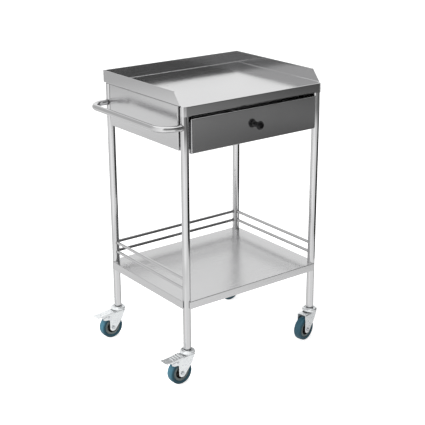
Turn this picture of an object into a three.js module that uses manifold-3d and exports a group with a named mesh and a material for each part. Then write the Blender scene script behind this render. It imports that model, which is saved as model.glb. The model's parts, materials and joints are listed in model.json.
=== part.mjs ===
// Stainless instrument cart: four tube legs, a top tray with a raised edge on three sides, a drawer
// under it, a lower shelf with guard rails, a push handle on the left and four swivel castors.
// Millimetres. X runs right along the front, Y to the back, Z up from the floor.
import * as THREE from "three";
import { mergeVertices } from "three/addons/utils/BufferGeometryUtils.js";
import Module from "manifold-3d";

const wasm = await Module();
wasm.setup();

// ---- Driving dimensions ------------------------------------------------------------------------

const GAP = 0.3; // clearance between neighbouring pieces
const SHEET = 1.5; // sheet metal thickness
const FLANGE = 12; // width of a folded return flange

const LEG = { x: 260, y: 207, radius: 12.5, wall: 1.5, bottom: 111 };

const TRAY = {
  floor: 897.5, // top of the tray's floor
  overhang: 14, // from a leg's axis to the tray's outer face
  upstand: 38.5,
  apron: 31, // drop of the front fold
  slopeTop: 47, // where an end upstand's sloped front starts, behind the front face
  hemDepth: 7,
  hemThickness: 3,
};

const SHELF = { floor: 276.6, overhang: 15.9, skirt: 25.5 };

const RAIL = { radius: 5, heights: [313, 346] };

const HANDLE = { radius: 9.5, wall: 1.5, height: 833, reach: 80, bend: 52 };

const HOUSING = { bottom: 759, side: 272, back: 219, gapToLeg: 5 };

const DRAWER = {
  halfWidth: 244.5, // of the front panel
  frontBottom: 751,
  frontTop: 857,
  frontDepth: 13.7, // depth of the folded front panel
  boxHalfWidth: 232.6,
  boxBottom: 766,
  boxTop: 846,
  boxBack: 172,
};

const SLIDE = { height: 35, depth: 9.5, innerHeight: 24, web: 1.2, middle: 806 };

const KNOB = { height: 804, headRadius: 14, reach: 27, screwRadius: 2 };

const WHEEL = {
  radius: 40,
  width: 27,
  trail: 32, // from the swivel axis back to the axle
  tread: 11.5, // thickness of the tyre
  hub: 9.5,
  web: 20.5, // radius of the recess in the rim's side
};

const FORK = {
  thickness: 2.5,
  outside: 18, // from the wheel's middle plane to an arm's outer face
  crownTop: 96,
  tipRadius: 13,
  lead: 17, // how far an arm reaches in front of the swivel axis
  raceRadius: 22,
  shoulderDrop: 5, // an arm's front edge bends twice on its way down to the axle
  waistLead: 7.5,
  waistDrop: 25.5,
  tipStart: -0.6, // where that edge meets the rounded tip, in radians
};

// The wing of a braked arm: the fillet where it leaves the arm's rear edge, then its corners in XZ
// from under the pedal's heel round to the crown.
const WING = {
  filletRadius: 6,
  filletHeight: 65,
  corners: [
    [-64, 73],
    [-73.5, 78.5],
    [-64, 84],
    [-49, 88],
    [-35, 91],
    [-25.5, 92.5],
    [-23.5, 96],
  ],
};

const HEAD = { radius: 25, bottom: 99.2, top: 108.4, pin: 4.8, stem: 5, foot: 9, insertion: 27 };

const AXLE = { radius: 3, hexRadius: 5.8, headThickness: 4 };

// The brake pedal's pivot and plate, measured along the trail from the swivel axis.
const PEDAL = {
  pivot: 49,
  pivotHeight: 82.7,
  pinRadius: 2,
  start: 27.2,
  startHeight: 96.5,
  kink: 75,
  kinkHeight: 90.5,
  end: 94,
  halfWidth: 17.5,
  thickness: 1.8,
  holeAt: 69.5,
  holeRadius: 3,
  shoe: { from: 61.5, to: 63.3, halfWidth: 9.5, bottom: 72, top: 91 },
  ear: [
    [-40.5, 94],
    [-57.5, 91.8],
    [-54.5, 79.5],
    [-48, 77.4],
    [-43.7, 80],
  ],
};

// Each castor: which leg it stands under, how far its trail is turned from -X, and its brake.
const CASTORS = [
  { place: "front_left", x: -1, y: -1, turn: 0, braked: true },
  { place: "front_right", x: 1, y: -1, turn: 12, braked: false },
  { place: "back_left", x: -1, y: 1, turn: 0, braked: true },
  { place: "back_right", x: 1, y: 1, turn: 0, braked: false },
];

// ---- Materials ---------------------------------------------------------------------------------

const finish = (color, roughness, metalness) =>
  new THREE.MeshStandardMaterial({ color, roughness, metalness });

const stainless = finish(0xc4c6c8, 0.35, 1);
const zinc = finish(0xd6dadd, 0.3, 1);
const blackPlastic = finish(0x121212, 0.4, 0);
const greyPlastic = finish(0x8c9698, 0.5, 0);
const tealRubber = finish(0x3f7287, 0.6, 0);
const darkSteel = finish(0x35383a, 0.4, 1);

// ---- Joining and cutting -----------------------------------------------------------------------

// A closed three.js geometry as a manifold-3d solid.
function solidOf(geometry) {
  const bare = geometry.clone();
  bare.deleteAttribute("normal");
  bare.deleteAttribute("uv");
  const merged = mergeVertices(bare, 1e-4);
  return new wasm.Manifold(
    new wasm.Mesh({
      numProp: 3,
      vertProperties: new Float32Array(merged.attributes.position.array),
      triVerts: new Uint32Array(merged.index.array),
    }),
  );
}

// A manifold-3d solid as a three.js geometry with flat faces.
function geometryOf(solid) {
  const { vertProperties, triVerts } = solid.getMesh();
  const geometry = new THREE.BufferGeometry();
  geometry.setAttribute("position", new THREE.BufferAttribute(vertProperties, 3));
  geometry.setIndex(new THREE.BufferAttribute(triVerts, 1));
  const flat = geometry.toNonIndexed();
  flat.computeVertexNormals();
  return flat;
}

const join = (...geometries) =>
  geometryOf(geometries.map(solidOf).reduce((whole, next) => whole.add(next)));

const cut = (geometry, ...cutters) =>
  geometryOf(cutters.map(solidOf).reduce((left, next) => left.subtract(next), solidOf(geometry)));

// ---- Basic shapes ------------------------------------------------------------------------------

// A block between two opposite corners.
function block([x0, y0, z0], [x1, y1, z1]) {
  const geometry = new THREE.BoxGeometry(x1 - x0, y1 - y0, z1 - z0);
  return geometry.translate((x0 + x1) / 2, (y0 + y1) / 2, (z0 + z1) / 2);
}

// An XY outline extruded upwards from z0 to z1.
function plate(shape, z0, z1, curveSegments = 6) {
  const options = { depth: z1 - z0, bevelEnabled: false, curveSegments };
  return new THREE.ExtrudeGeometry(shape, options).translate(0, 0, z0);
}

// An XZ outline extruded along Y from y0 to y1.
function uprightPlate(shape, y0, y1, curveSegments = 6) {
  const options = { depth: y1 - y0, bevelEnabled: false, curveSegments };
  const geometry = new THREE.ExtrudeGeometry(shape, options);
  return geometry.rotateX(Math.PI / 2).translate(0, y1, 0);
}

// A solid of revolution about Z from [radius, height] points, run upwards on its outside.
function turned(profile, segments) {
  const points = profile.map(([radius, height]) => new THREE.Vector2(radius, height));
  return new THREE.LatheGeometry(points, segments).rotateX(Math.PI / 2);
}

// The same about Y, with a flat facing straight down and its flats touching the given radii.
function turnedAcross(profile, segments = 24) {
  const swell = 1 / Math.cos(Math.PI / segments);
  const swollen = profile.map(([radius, along]) => [radius * swell, along]);
  return turned(swollen, segments)
    .rotateZ(Math.PI / segments)
    .rotateX(Math.PI / 2);
}

// A round bar between two points.
function bar(radius, from, to, segments = 16) {
  const start = new THREE.Vector3(...from);
  const along = new THREE.Vector3(...to).sub(start);
  const geometry = new THREE.CylinderGeometry(radius, radius, along.length(), segments);
  geometry.translate(0, along.length() / 2, 0);
  const turn = new THREE.Quaternion().setFromUnitVectors(
    new THREE.Vector3(0, 1, 0),
    along.clone().normalize(),
  );
  return geometry.applyQuaternion(turn).translate(start.x, start.y, start.z);
}

// A closed outline from [x, y] points.
const outline = (points) => new THREE.Shape(points.map(([x, y]) => new THREE.Vector2(x, y)));

// A mesh of one named sub-part.
function piece(name, geometry, material) {
  const mesh = new THREE.Mesh(geometry, material);
  mesh.name = name;
  return mesh;
}

// ---- Frame -------------------------------------------------------------------------------------

const TRAY_UNDERSIDE = TRAY.floor - SHEET;
const SHELF_UNDERSIDE = SHELF.floor - SHEET;
const SIDES = [
  { side: "left", sign: -1 },
  { side: "right", sign: 1 },
];

// The room a leg takes, as a cutter.
function legClearance(x, y, z0, z1) {
  return bar(LEG.radius + GAP, [x, y, z0], [x, y, z1], 24);
}

function leg() {
  const { radius, wall, bottom } = LEG;
  const top = TRAY_UNDERSIDE - GAP;
  const profile = [
    [radius - wall, bottom],
    [radius, bottom],
    [radius, top],
    [radius - wall, top],
    [radius - wall, bottom],
  ];
  return turned(profile, 24);
}

// A quarter bend in the XY plane, from heading `start` round its centre.
class Bend extends THREE.Curve {
  constructor(centre, radius, start) {
    super();
    Object.assign(this, { centre, radius, start });
  }

  getPoint(t, target = new THREE.Vector3()) {
    const angle = this.start + (t * Math.PI) / 2;
    const [x, y, z] = this.centre;
    return target.set(
      x + this.radius * Math.cos(angle),
      y + this.radius * Math.sin(angle),
      z,
    );
  }
}

// The U of the push handle as one round bar of the given radius, its legs run on by `extra`.
function handleBar(radius, extra) {
  const { height, reach, bend } = HANDLE;
  const outer = -LEG.x - reach;
  const turnX = outer + bend;
  const turnY = LEG.y - bend;
  const circle = new THREE.Shape().absarc(0, 0, radius, 0, 2 * Math.PI);
  const corner = (centre, start) =>
    new THREE.ExtrudeGeometry(circle, {
      extrudePath: new Bend(centre, bend, start),
      steps: 6,
      curveSegments: 8,
      bevelEnabled: false,
    });
  return join(
    bar(radius, [-LEG.x + extra, -LEG.y, height], [turnX - 0.5, -LEG.y, height]),
    bar(radius, [-LEG.x + extra, LEG.y, height], [turnX - 0.5, LEG.y, height]),
    bar(radius, [outer, -turnY - 0.5, height], [outer, turnY + 0.5, height]),
    corner([turnX, turnY, height], Math.PI / 2),
    corner([turnX, -turnY, height], Math.PI),
  );
}

function pushHandle() {
  const { radius, wall, height } = HANDLE;
  const z = [height - 2 * radius, height + 2 * radius];
  return cut(
    handleBar(radius, 0),
    handleBar(radius - wall, 1),
    legClearance(-LEG.x, -LEG.y, ...z),
    legClearance(-LEG.x, LEG.y, ...z),
  );
}

// A guard rail between two legs, coped to fit them.
function guardRail(from, to) {
  const z = [from[2] - 2 * RAIL.radius, from[2] + 2 * RAIL.radius];
  return cut(
    bar(RAIL.radius, from, to, 14),
    legClearance(from[0], from[1], ...z),
    legClearance(to[0], to[1], ...z),
  );
}

// The tray is one folded sheet: a floor, a front apron that turns round both front legs, and
// upstands on the other three sides with a folded hem and a sloped front end.
function topTray() {
  const halfX = LEG.x + TRAY.overhang;
  const halfY = LEG.y + TRAY.overhang;
  const round = TRAY.overhang;
  const top = TRAY.floor + TRAY.upstand;

  const floor = new THREE.Shape();
  floor.moveTo(halfX, halfY);
  floor.lineTo(-halfX, halfY);
  floor.absarc(-halfX + round, -halfY + round, round, Math.PI, 1.5 * Math.PI);
  floor.absarc(halfX - round, -halfY + round, round, 1.5 * Math.PI, 2 * Math.PI);

  const apron = new THREE.Shape();
  const inside = round - SHEET;
  apron.absarc(-LEG.x, -LEG.y, round, Math.PI, 1.5 * Math.PI);
  apron.absarc(LEG.x, -LEG.y, round, 1.5 * Math.PI, 2 * Math.PI);
  apron.absarc(LEG.x, -LEG.y, inside, 2 * Math.PI, 1.5 * Math.PI, true);
  apron.absarc(-LEG.x, -LEG.y, inside, 1.5 * Math.PI, Math.PI, true);

  // An end upstand's outline seen from the side, drawn in YZ and turned to stand along Y.
  const endOutline = outline([
    [-LEG.y, TRAY_UNDERSIDE],
    [halfY, TRAY_UNDERSIDE],
    [halfY, top],
    [-halfY + TRAY.slopeTop, top],
    [-LEG.y, TRAY.floor],
  ]);
  const end = (x) =>
    uprightPlate(endOutline, 0, SHEET)
      .rotateZ(Math.PI / 2)
      .translate(x + SHEET, 0, 0);

  const { hemDepth, hemThickness } = TRAY;
  const hemFront = -halfY + TRAY.slopeTop + 1;
  return join(
    plate(floor, TRAY_UNDERSIDE, TRAY.floor),
    plate(apron, TRAY.floor - TRAY.apron, TRAY.floor - SHEET / 2),
    end(-halfX),
    end(halfX - SHEET),
    block([-halfX, halfY - SHEET, TRAY_UNDERSIDE], [halfX, halfY, top]),
    block([-halfX, hemFront, top - hemDepth], [-halfX + hemThickness, halfY, top]),
    block([halfX - hemThickness, hemFront, top - hemDepth], [halfX, halfY, top]),
    block([-halfX, halfY - hemThickness, top - hemDepth], [halfX, halfY, top]),
  );
}

// The lower shelf is a sheet folded down along its four sides. Each corner is cut away outside the
// leg's axis, so the leg shows there, and the floor wraps round the rest of the leg.
function lowerShelf() {
  const halfX = LEG.x + SHELF.overhang;
  const halfY = LEG.y + SHELF.overhang;
  const bottom = SHELF.floor - SHELF.skirt;
  const cutters = [
    block([SHEET - halfX, SHEET - halfY, bottom - 1], [halfX - SHEET, halfY - SHEET, SHELF_UNDERSIDE]),
  ];
  for (const { x, y } of CASTORS) {
    const axis = [x * LEG.x, y * LEG.y];
    const middle = [axis[0] + x * SHELF.overhang, axis[1] + y * SHELF.overhang];
    const low = middle.map((at) => at - SHELF.overhang);
    const high = middle.map((at) => at + SHELF.overhang);
    cutters.push(block([...low, bottom - 1], [...high, SHELF.floor + 1]));
    const hole = LEG.radius + GAP + 0.1;
    cutters.push(bar(hole, [...axis, bottom - 1], [...axis, SHELF.floor + 1], 32));
  }
  return cut(block([-halfX, -halfY, bottom], [halfX, halfY, SHELF.floor]), ...cutters);
}

// ---- Drawer housing and slides -----------------------------------------------------------------

// A side of the housing: a sheet close to the legs' outer line, with returns along all four edges.
function housingSide() {
  const { bottom, side, gapToLeg } = HOUSING;
  const halfY = LEG.y - LEG.radius - gapToLeg;
  const top = TRAY_UNDERSIDE - GAP;
  const inner = side - FLANGE;
  return join(
    block([side - SHEET, -halfY, bottom], [side, halfY, top]),
    block([inner, -halfY, bottom], [side, -halfY + SHEET, top]),
    block([inner, halfY - SHEET, bottom], [side, halfY, top]),
    block([inner, -halfY, bottom], [side, halfY, bottom + SHEET]),
    block([inner, -halfY, top - SHEET], [side, halfY, top]),
  );
}

function housingBack() {
  const { bottom, back, gapToLeg } = HOUSING;
  const halfX = LEG.x - LEG.radius - gapToLeg;
  const top = TRAY_UNDERSIDE - GAP;
  const inner = back - FLANGE;
  return join(
    block([-halfX, back - SHEET, bottom], [halfX, back, top]),
    block([-halfX, inner, bottom], [halfX, back, bottom + SHEET]),
    block([-halfX, inner, top - SHEET], [halfX, back, top]),
  );
}

const BRACKET_OUTSIDE = LEG.x - LEG.radius - GAP;
const BRACKET_INSIDE = BRACKET_OUTSIDE - SHEET;

// The upright plate between a front and a back leg that carries a drawer slide.
function slideBracket() {
  const { height, middle } = SLIDE;
  const margin = 25;
  return block(
    [BRACKET_INSIDE, -LEG.y - 6, middle - height / 2 - margin],
    [BRACKET_OUTSIDE, LEG.y - 3, middle + height / 2 + margin],
  );
}

// A channel on the right-hand side: a web and two lips that run towards `lipEnd`.
function channel(webStart, webEnd, lipEnd, height) {
  const z0 = SLIDE.middle - height / 2;
  const z1 = SLIDE.middle + height / 2;
  const y0 = -LEG.y + GAP;
  const y1 = DRAWER.boxBack;
  const lip = [Math.min(webStart, lipEnd), Math.max(webEnd, lipEnd)];
  return join(
    block([webStart, y0, z0], [webEnd, y1, z1]),
    block([lip[0], y0, z0], [lip[1], y1, z0 + SLIDE.web]),
    block([lip[0], y0, z1 - SLIDE.web], [lip[1], y1, z1]),
  );
}

function fixedSlide() {
  const outside = BRACKET_INSIDE - GAP;
  return channel(outside - SLIDE.web, outside, outside - SLIDE.depth, SLIDE.height);
}

function movingSlide() {
  const inside = DRAWER.boxHalfWidth + GAP;
  return channel(inside, inside + SLIDE.web, inside + SLIDE.depth, SLIDE.innerHeight);
}

// ---- Drawer ------------------------------------------------------------------------------------

const DRAWER_FACE = -LEG.y - TRAY.overhang; // the front panel is flush with the apron
const PANEL_BACK = DRAWER_FACE + DRAWER.frontDepth;
const BOX_FRONT = PANEL_BACK + GAP;

// The hole for the knob's screw, as a cutter.
const screwHole = (y0, y1) =>
  bar(KNOB.screwRadius + GAP, [0, y0, KNOB.height], [0, y1, KNOB.height], 12);

// The front panel is a shallow pan, open towards the drawer box.
function drawerFront() {
  const { halfWidth: half, frontBottom: bottom, frontTop: top } = DRAWER;
  return cut(
    block([-half, DRAWER_FACE, bottom], [half, PANEL_BACK, top]),
    block(
      [-half + SHEET, DRAWER_FACE + SHEET, bottom + SHEET],
      [half - SHEET, PANEL_BACK + 1, top - SHEET],
    ),
    screwHole(DRAWER_FACE - 1, DRAWER_FACE + SHEET + 1),
  );
}

function drawerBox() {
  const { boxHalfWidth: half, boxBottom: bottom, boxTop: top, boxBack: back } = DRAWER;
  return cut(
    block([-half, BOX_FRONT, bottom], [half, back, top]),
    block(
      [-half + SHEET, BOX_FRONT + SHEET, bottom + SHEET],
      [half - SHEET, back - SHEET, top + 1],
    ),
    screwHole(BOX_FRONT - 1, BOX_FRONT + SHEET + 1),
  );
}

// A mushroom knob, turned about Y, with a blind hole for its screw.
function drawerKnob() {
  const { headRadius: head, reach, screwRadius, height } = KNOB;
  const profile = [
    [0, 0],
    [head * 0.42, 0.8],
    [head * 0.8, 3.2],
    [head, 7.5],
    [head * 0.93, 11],
    [head * 0.68, 13.5],
    [6, 16],
    [6, reach - 4],
    [8, reach - 2.5],
    [8, reach - GAP],
    [screwRadius + GAP, reach - GAP],
    [screwRadius + GAP, 10],
    [0, 10],
  ];
  return turned(profile, 16)
    .rotateX(-Math.PI / 2)
    .translate(0, DRAWER_FACE - reach, height);
}

// The screw comes from inside the drawer box, through both sheets and into the knob.
function knobScrew() {
  const tip = DRAWER_FACE - KNOB.reach + 12;
  const seat = BOX_FRONT + SHEET + GAP;
  return join(
    bar(KNOB.screwRadius, [0, tip, KNOB.height], [0, seat + 0.5, KNOB.height], 12),
    bar(4.5, [0, seat, KNOB.height], [0, seat + 2.5, KNOB.height], 12),
  );
}

// ---- Castors -----------------------------------------------------------------------------------
// Each is drawn about its own swivel axis, with its wheel trailing towards -X.

const HUB_BORE = AXLE.radius + GAP;
const ARM_INSIDE = FORK.outside - FORK.thickness;

// The plug that closes the leg's foot and holds the castor's stem.
function stemPlug() {
  const inner = HEAD.stem + GAP;
  const shank = LEG.radius - LEG.wall - GAP;
  const flange = LEG.radius - GAP;
  const underside = LEG.bottom - 2.3;
  const end = LEG.bottom + HEAD.insertion + 3;
  const profile = [
    [inner, underside],
    [flange, underside],
    [flange, LEG.bottom - GAP],
    [shank, LEG.bottom - GAP],
    [shank, end],
    [inner, end],
    [inner, underside],
  ];
  return turned(profile, 16);
}

// The part of a castor that stays with the leg: stem, round cap over the balls, and king pin.
function swivelHead() {
  const { radius, bottom, top, pin, stem, foot, insertion } = HEAD;
  const footTop = FORK.crownTop - FORK.thickness - GAP;
  const footBottom = footTop - 3;
  const profile = [
    [0, footBottom],
    [foot, footBottom],
    [foot, footTop],
    [pin, footTop],
    [pin, bottom],
    [radius - 1.5, bottom],
    [radius, bottom + 1.5],
    [radius, top - 4],
    [14, top],
    [stem, top],
    [stem, LEG.bottom + insertion],
    [0, LEG.bottom + insertion],
  ];
  return turned(profile, 16);
}

// One arm's outline in XZ, down to a rounded tip round the axle. On a braked castor a wing under
// the pedal carries the pedal's pin.
function armOutline(braked) {
  const { crownTop, tipRadius, lead, shoulderDrop, waistLead, waistDrop, tipStart } = FORK;
  const axleX = -WHEEL.trail;
  const rear = axleX - tipRadius;
  const shape = new THREE.Shape();
  shape.moveTo(lead, crownTop);
  shape.lineTo(lead - 2, crownTop - shoulderDrop);
  shape.lineTo(waistLead, crownTop - waistDrop);
  shape.absarc(axleX, WHEEL.radius, tipRadius, tipStart, -Math.PI, true);
  if (braked) {
    const { filletRadius, filletHeight, corners } = WING;
    shape.lineTo(rear, filletHeight);
    shape.absarc(rear - filletRadius, filletHeight, filletRadius, 0, Math.PI / 2);
    corners.forEach(([x, z]) => shape.lineTo(x, z));
  } else {
    const chamfer = 4;
    shape.lineTo(rear, crownTop - chamfer);
    shape.lineTo(rear + chamfer, crownTop);
  }
  return shape;
}

function fork(braked) {
  const { crownTop, thickness, outside, raceRadius, lead } = FORK;
  const shelf = braked ? raceRadius : WHEEL.trail + FORK.tipRadius - 2;
  const arm = armOutline(braked);
  const body = join(
    uprightPlate(arm, -outside, -ARM_INSIDE),
    uprightPlate(arm, ARM_INSIDE, outside),
    block([-shelf, -outside, crownTop - thickness], [lead, outside, crownTop]),
    bar(raceRadius, [0, 0, crownTop - 1], [0, 0, crownTop + 2.7], 24),
  );
  const cutters = [
    bar(HUB_BORE + 0.2, wheelPoint(-outside - 1), wheelPoint(outside + 1), 16),
    bar(HEAD.pin + 0.5, [0, 0, crownTop - thickness - 1], [0, 0, HEAD.bottom], 20),
  ];
  if (braked) cutters.push(pinHole());
  return cut(body, ...cutters);
}

// Points on the axle's and the pedal pin's axes, `y` across from the wheel's middle plane.
function wheelPoint(y) {
  return [-WHEEL.trail, y, WHEEL.radius];
}

function pedalPoint(y) {
  return [-PEDAL.pivot, y, PEDAL.pivotHeight];
}

// The pedal pin's hole through arms or ears, as a cutter.
function pinHole() {
  const reach = FORK.outside + 1;
  return bar(PEDAL.pinRadius + GAP, pedalPoint(-reach), pedalPoint(reach), 12);
}

function axleBolt() {
  const { radius, hexRadius, headThickness } = AXLE;
  const face = -FORK.outside - GAP;
  return join(
    bar(radius, wheelPoint(face - 1), wheelPoint(FORK.outside + 7.5), 14),
    bar(hexRadius, wheelPoint(face - headThickness), wheelPoint(face), 6),
  );
}

function axleNut() {
  const face = FORK.outside + GAP;
  return cut(
    bar(AXLE.hexRadius, wheelPoint(face), wheelPoint(face + 6), 6),
    bar(AXLE.radius + GAP, wheelPoint(face - 1), wheelPoint(face + 7), 14),
  );
}

function tyre() {
  const { radius, width, tread } = WHEEL;
  const half = width / 2;
  const inner = radius - tread;
  const profile = [
    [inner, -half + 1.5],
    [radius - 4, -half],
    [radius - 1.2, -half + 2],
    [radius, -half + 5.5],
    [radius, half - 5.5],
    [radius - 1.2, half - 2],
    [radius - 4, half],
    [inner, half - 1.5],
    [inner, -half + 1.5],
  ];
  return turnedAcross(profile).translate(...wheelPoint(0));
}

// The wheel's core: a rim inside the tyre, a recessed web and a long hub.
function rim() {
  const { radius, width, tread, hub, web } = WHEEL;
  const outer = radius - tread - GAP;
  const half = width / 2 - 2;
  const hubEnd = ARM_INSIDE - 0.5;
  const profile = [
    [HUB_BORE, -hubEnd],
    [hub, -hubEnd],
    [hub, -5],
    [web - 1, -4],
    [web, -half],
    [outer, -half],
    [outer, half],
    [web, half],
    [web - 1, 4],
    [hub, 5],
    [hub, hubEnd],
    [HUB_BORE, hubEnd],
    [HUB_BORE, -hubEnd],
  ];
  return turnedAcross(profile).translate(...wheelPoint(0));
}

// The brake pedal: a sloping tread plate with a level toe, two ears on the pin and a shoe that
// comes down on the tyre.
function brakePedal() {
  const { start, startHeight, kink, kinkHeight, end, thickness, halfWidth, shoe } = PEDAL;
  const side = outline([
    [-start, startHeight],
    [-kink, kinkHeight],
    [-end, kinkHeight],
    [-end, kinkHeight - thickness],
    [-kink, kinkHeight - thickness],
    [-start, startHeight - thickness],
  ]);
  const ear = outline(PEDAL.ear);
  const earInside = WHEEL.width / 2 + 0.5;
  const earOutside = ARM_INSIDE - GAP;
  return cut(
    join(
      uprightPlate(side, -halfWidth, halfWidth),
      uprightPlate(ear, -earOutside, -earInside),
      uprightPlate(ear, earInside, earOutside),
      block([-shoe.to, -shoe.halfWidth, shoe.bottom], [-shoe.from, shoe.halfWidth, shoe.top]),
    ),
    pinHole(),
    bar(PEDAL.holeRadius, [-PEDAL.holeAt, 0, shoe.bottom], [-PEDAL.holeAt, 0, startHeight], 12),
  );
}

function pedalPin() {
  const reach = FORK.outside + GAP;
  return join(
    bar(PEDAL.pinRadius, pedalPoint(-reach - 1), pedalPoint(reach + 1), 12),
    bar(3.6, pedalPoint(-reach - 1.5), pedalPoint(-reach), 12),
    bar(3.6, pedalPoint(reach), pedalPoint(reach + 1.5), 12),
  );
}

// One castor as a group on its leg's axis; everything below the head turns with the swivel.
function castor({ place, x, y, turn, braked }) {
  const swivel = new THREE.Group();
  swivel.rotation.z = THREE.MathUtils.degToRad(turn);
  swivel.add(
    piece(`castor_fork_${place}`, fork(braked), zinc),
    piece(`axle_bolt_${place}`, axleBolt(), darkSteel),
    piece(`axle_nut_${place}`, axleNut(), darkSteel),
    piece(`tyre_${place}`, tyre(), tealRubber),
    piece(`wheel_rim_${place}`, rim(), greyPlastic),
  );
  if (braked) {
    swivel.add(
      piece(`brake_pedal_${place}`, brakePedal(), zinc),
      piece(`pedal_pin_${place}`, pedalPin(), darkSteel),
    );
  }
  const group = new THREE.Group();
  group.position.set(x * LEG.x, y * LEG.y, 0);
  group.add(
    piece(`leg_${place}`, leg(), stainless),
    piece(`stem_plug_${place}`, stemPlug(), blackPlastic),
    piece(`swivel_head_${place}`, swivelHead(), zinc),
    swivel,
  );
  return group;
}

// ---- Assembly ----------------------------------------------------------------------------------

const cart = new THREE.Group();

CASTORS.forEach((each) => cart.add(castor(each)));
cart.add(
  piece("top_tray", topTray(), stainless),
  piece("lower_shelf", lowerShelf(), stainless),
  piece("push_handle", pushHandle(), stainless),
  piece("housing_back", housingBack(), stainless),
  piece("drawer_front", drawerFront(), stainless),
  piece("drawer_box", drawerBox(), stainless),
  piece("drawer_knob", drawerKnob(), blackPlastic),
  piece("knob_screw", knobScrew(), darkSteel),
);

RAIL.heights.forEach((z, i) => {
  const level = ["low", "high"][i];
  const { x, y } = LEG;
  cart.add(piece(`rail_back_${level}`, guardRail([-x, y, z], [x, y, z]), stainless));
  for (const { side, sign } of SIDES) {
    const rail = guardRail([sign * x, -y, z], [sign * x, y, z]);
    cart.add(piece(`rail_${side}_${level}`, rail, stainless));
  }
});

// The housing sides, slide brackets and slides are mirror pairs, drawn on the right.
const PAIRS = [
  ["housing_side", housingSide, stainless],
  ["slide_bracket", slideBracket, stainless],
  ["slide_fixed", fixedSlide, zinc],
  ["slide_moving", movingSlide, zinc],
];
for (const [name, shape, material] of PAIRS) {
  for (const { side, sign } of SIDES) {
    const mesh = piece(`${name}_${side}`, shape(), material);
    mesh.scale.x = sign;
    cart.add(mesh);
  }
}

// The origin is on the floor, under the middle of the cart's overall outline.
const middle = new THREE.Box3().setFromObject(cart, true).getCenter(new THREE.Vector3());
cart.position.set(-middle.x, -middle.y, 0);

export default cart;
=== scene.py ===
"""The looks of a stainless instrument cart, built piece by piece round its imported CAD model.

Mesh code works in millimetres in the row frame (X right, Y back, Z up) and is scaled to metres when a
piece is made. Each castor is drawn about its own swivel axis with its wheel trailing towards -X.
"""

import json
import math

import bmesh
import bpy
from mathutils import Matrix, Vector


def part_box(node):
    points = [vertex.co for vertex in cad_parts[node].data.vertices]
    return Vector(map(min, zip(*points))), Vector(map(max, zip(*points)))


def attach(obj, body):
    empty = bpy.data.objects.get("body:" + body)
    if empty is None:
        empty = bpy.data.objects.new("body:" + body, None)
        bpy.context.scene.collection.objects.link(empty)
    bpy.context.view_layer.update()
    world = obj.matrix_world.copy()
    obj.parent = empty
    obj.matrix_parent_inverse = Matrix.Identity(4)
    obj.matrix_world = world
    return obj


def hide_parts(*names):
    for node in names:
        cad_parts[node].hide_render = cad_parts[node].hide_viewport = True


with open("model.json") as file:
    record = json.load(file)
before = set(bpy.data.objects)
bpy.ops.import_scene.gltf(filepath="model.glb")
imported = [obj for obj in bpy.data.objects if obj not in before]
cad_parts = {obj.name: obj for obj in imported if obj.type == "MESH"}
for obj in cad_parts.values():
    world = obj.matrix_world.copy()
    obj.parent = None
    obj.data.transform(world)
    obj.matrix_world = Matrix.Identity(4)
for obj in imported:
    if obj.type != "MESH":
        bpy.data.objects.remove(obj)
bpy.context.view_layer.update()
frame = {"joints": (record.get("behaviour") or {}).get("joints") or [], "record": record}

MM = 0.001
RECORD = frame["record"]
JOINTS = {joint["name"]: joint for joint in frame["joints"]}
MOUNTS = {mount["name"]: mount for mount in RECORD["mounts"]}
BODY_OF = {node: body for body, nodes in RECORD["behaviour"]["bodies"].items() for node in nodes}

PLACES = ("front_left", "front_right", "back_left", "back_right")
SHEET = 1.5  # sheet metal thickness
BEND = 3.0  # outer radius of a fold in the sheet
EDGE = 0.25  # how far a cut edge is eased
HEM_GAP = 0.3  # between the two layers of a folded hem
WELD = 1.3  # how far a weld bead stands out from a tube
ROD_SEGMENTS = 40  # round a rod or a handle

FORK = {"sheet": 2.5, "bend": 4.0, "half_width": 18.0, "top": 96.0, "lead": 17.0, "tip": 13.0}
AXLE = {"x": -32.0, "z": 40.0, "radius": 3.0, "hex": 5.8}
PEDAL = {"pivot": (-49.0, 82.7), "heel": -27.2, "toe": -94.0, "sheet": 1.8, "half_width": 17.5}


def corners(node):
    """The lowest and highest corners of a CAD node, in millimetres."""
    lo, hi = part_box(node)
    return lo / MM, hi / MM


def middle(node):
    lo, hi = corners(node)
    return (lo + hi) / 2


LEG_AXES = {place: middle(f"leg_{place}") for place in PLACES}
LEG_RADIUS = (corners("leg_front_left")[1] - corners("leg_front_left")[0]).x / 2
WHEELBASE_CENTRE = sum(LEG_AXES.values(), Vector()) / len(PLACES)


# ---- Outlines ----


def arc(centre, radius, start, end, steps=8):
    """Points of an arc from `start` to `end`, in degrees."""
    turns = [math.radians(start + (end - start) * i / steps) for i in range(steps + 1)]
    return [(centre[0] + radius * math.cos(t), centre[1] + radius * math.sin(t)) for t in turns]


def rounded(points, closed=False, step=15):
    """A path through (x, y) or (x, y, corner radius) points, with its corners turned as arcs."""
    path = []
    count = len(points)
    for i, point in enumerate(points):
        here = Vector(point[:2])
        radius = point[2] if len(point) > 2 else 0
        if radius == 0 or (not closed and i in (0, count - 1)):
            path.append(tuple(here))
            continue
        back = (Vector(points[i - 1][:2]) - here).normalized()
        ahead = (Vector(points[(i + 1) % count][:2]) - here).normalized()
        turn = math.pi - back.angle(ahead)
        reach = radius * math.tan(turn / 2)
        centre = here + (back + ahead).normalized() * radius / math.cos(turn / 2)
        first = here + back * reach - centre
        last = here + ahead * reach - centre
        sweep = first.angle_signed(last)
        pieces = max(2, math.ceil(math.degrees(turn) / step))
        for k in range(pieces + 1):
            path.append(tuple(centre + Matrix.Rotation(-sweep * k / pieces, 2) @ first))
    return path


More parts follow.
